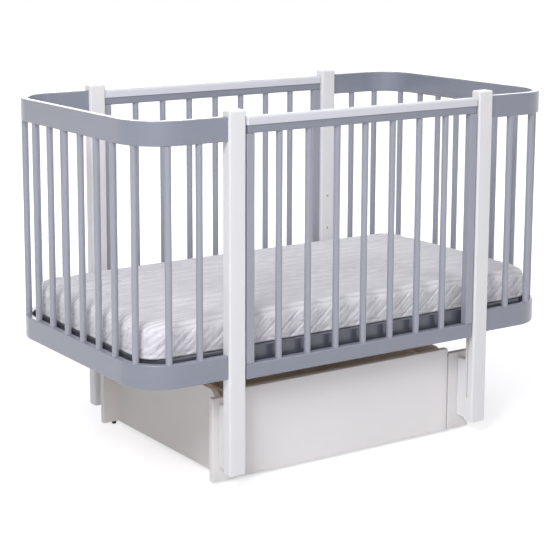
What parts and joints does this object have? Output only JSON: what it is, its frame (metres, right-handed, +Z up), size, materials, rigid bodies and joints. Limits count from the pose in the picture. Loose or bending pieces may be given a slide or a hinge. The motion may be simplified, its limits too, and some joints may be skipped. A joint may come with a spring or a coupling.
{
  "type": "pendulum crib",
  "caption": "Slatted baby crib with rounded ends that swings lengthwise on links over a low base with a wide drawer; the front side lowers and a quilted mattress lies inside.",
  "frame": {"origin": "on the floor under the middle of the crib", "axes": "+X along the crib to the right end seen from the drawer side, +Z up, -Y towards the drawer side"},
  "size_m": [1.25, 0.7, 0.909],
  "materials": {
    "grey_paint": "solid beech and bent wood under satin blue-grey paint",
    "white_paint": "solid beech under satin white paint",
    "white_board": "board with smooth white faces and edges",
    "clear_cover": "soft translucent plastic, faintly glossy",
    "quilted_fabric": "white quilted mattress cover",
    "steel": "zinc-plated steel",
    "black_rubber": "matt black rubber"
  },
  "bodies": {
    "base": {"base_side_left": "white_board", "base_side_right": "white_board", "base_back": "white_board", "corner_board_front_left": "white_board", "corner_board_front_right": "white_board", "corner_board_back_left": "white_board", "corner_board_back_right": "white_board", "foot_front_left": "black_rubber", "foot_front_right": "black_rubber", "foot_back_left": "black_rubber", "foot_back_right": "black_rubber", "upper_pin_front_left": "steel", "upper_pin_front_right": "steel", "upper_pin_back_left": "steel", "upper_pin_back_right": "steel", "runner_rail_left": "white_paint", "runner_rail_right": "white_paint", "drawer_bumper_left": "black_rubber", "drawer_bumper_right": "black_rubber"},
    "drawer": {"drawer_front": "white_board", "drawer_side_left": "white_board", "drawer_side_right": "white_board", "drawer_bottom": "white_board", "drawer_back": "white_board", "drawer_runner_bar_left": "white_paint", "drawer_runner_bar_right": "white_paint"},
    "link_front_left": {"link_front_left": "white_paint"},
    "link_front_right": {"link_front_right": "white_paint"},
    "link_back_left": {"link_back_left": "white_paint"},
    "link_back_right": {"link_back_right": "white_paint"},
    "crib": {"post_front_left": "white_paint", "post_front_right": "white_paint", "post_back_left": "white_paint", "post_back_right": "white_paint", "bed_bolt_front_left": "steel", "bed_bolt_front_right": "steel", "bed_bolt_back_left": "steel", "bed_bolt_back_right": "steel", "lower_pin_front_left": "steel", "lower_pin_front_right": "steel", "lower_pin_back_left": "steel", "lower_pin_back_right": "steel", "top_band_left": "grey_paint", "top_band_right": "grey_paint", "end_slats_left": "grey_paint", "end_slats_right": "grey_paint", "back_stile_left": "grey_paint", "back_stile_right": "grey_paint", "bed_base": "grey_paint", "back_slats": "grey_paint", "back_top_rail": "grey_paint", "back_rail_cover": "clear_cover"},
    "front_side": {"front_slats": "grey_paint", "front_top_rail": "grey_paint", "front_rail_cover": "clear_cover", "front_stile_left": "grey_paint", "front_stile_right": "grey_paint"},
    "latch_left": {"latch_left": "steel"},
    "latch_right": {"latch_right": "steel"},
    "mattress": {"mattress": "quilted_fabric"}
  },
  "joints": [
    {"name": "swing", "type": "hinge", "parent": "base", "child": "link_front_left", "pos_m": [-0.372, -0.299, 0.185], "axis": [0, 1, 0], "range_deg": [-12, 12]},
    {"name": "crib_level", "type": "hinge", "parent": "link_front_left", "child": "crib", "pos_m": [-0.372, -0.299, 0.061], "axis": [0, 1, 0], "range_deg": [-12, 12]},
    {"name": "swing_front_right", "type": "hinge", "parent": "base", "child": "link_front_right", "pos_m": [0.372, -0.299, 0.185], "axis": [0, 1, 0], "range_deg": [-12, 12]},
    {"name": "swing_back_left", "type": "hinge", "parent": "base", "child": "link_back_left", "pos_m": [-0.372, 0.299, 0.185], "axis": [0, 1, 0], "range_deg": [-12, 12]},
    {"name": "swing_back_right", "type": "hinge", "parent": "base", "child": "link_back_right", "pos_m": [0.372, 0.299, 0.185], "axis": [0, 1, 0], "range_deg": [-12, 12]},
    {"name": "drawer_slide", "type": "slide", "parent": "base", "child": "drawer", "axis": [0, -1, 0], "range_m": [0, 0.35]},
    {"name": "front_side_drop", "type": "slide", "parent": "crib", "child": "front_side", "axis": [0, 0, 1], "range_m": [-0.17, 0]},
    {"name": "latch_left_pull", "type": "slide", "parent": "front_side", "child": "latch_left", "axis": [1, 0, 0], "range_m": [0, 0.008], "stiffness_N_per_m": 400, "springref_m": -0.004},
    {"name": "latch_right_pull", "type": "slide", "parent": "front_side", "child": "latch_right", "axis": [-1, 0, 0], "range_m": [0, 0.008], "stiffness_N_per_m": 400, "springref_m": -0.004},
    {"name": "mattress_lift", "type": "slide", "parent": "crib", "child": "mattress", "axis": [0, 0, 1], "range_m": [0, 0.65]}
  ],
  "couplings": [
    {"joint": "crib_level", "follows": "swing", "ratio": -1},
    {"joint": "swing_front_right", "follows": "swing", "ratio": 1},
    {"joint": "swing_back_left", "follows": "swing", "ratio": 1},
    {"joint": "swing_back_right", "follows": "swing", "ratio": 1}
  ]
}
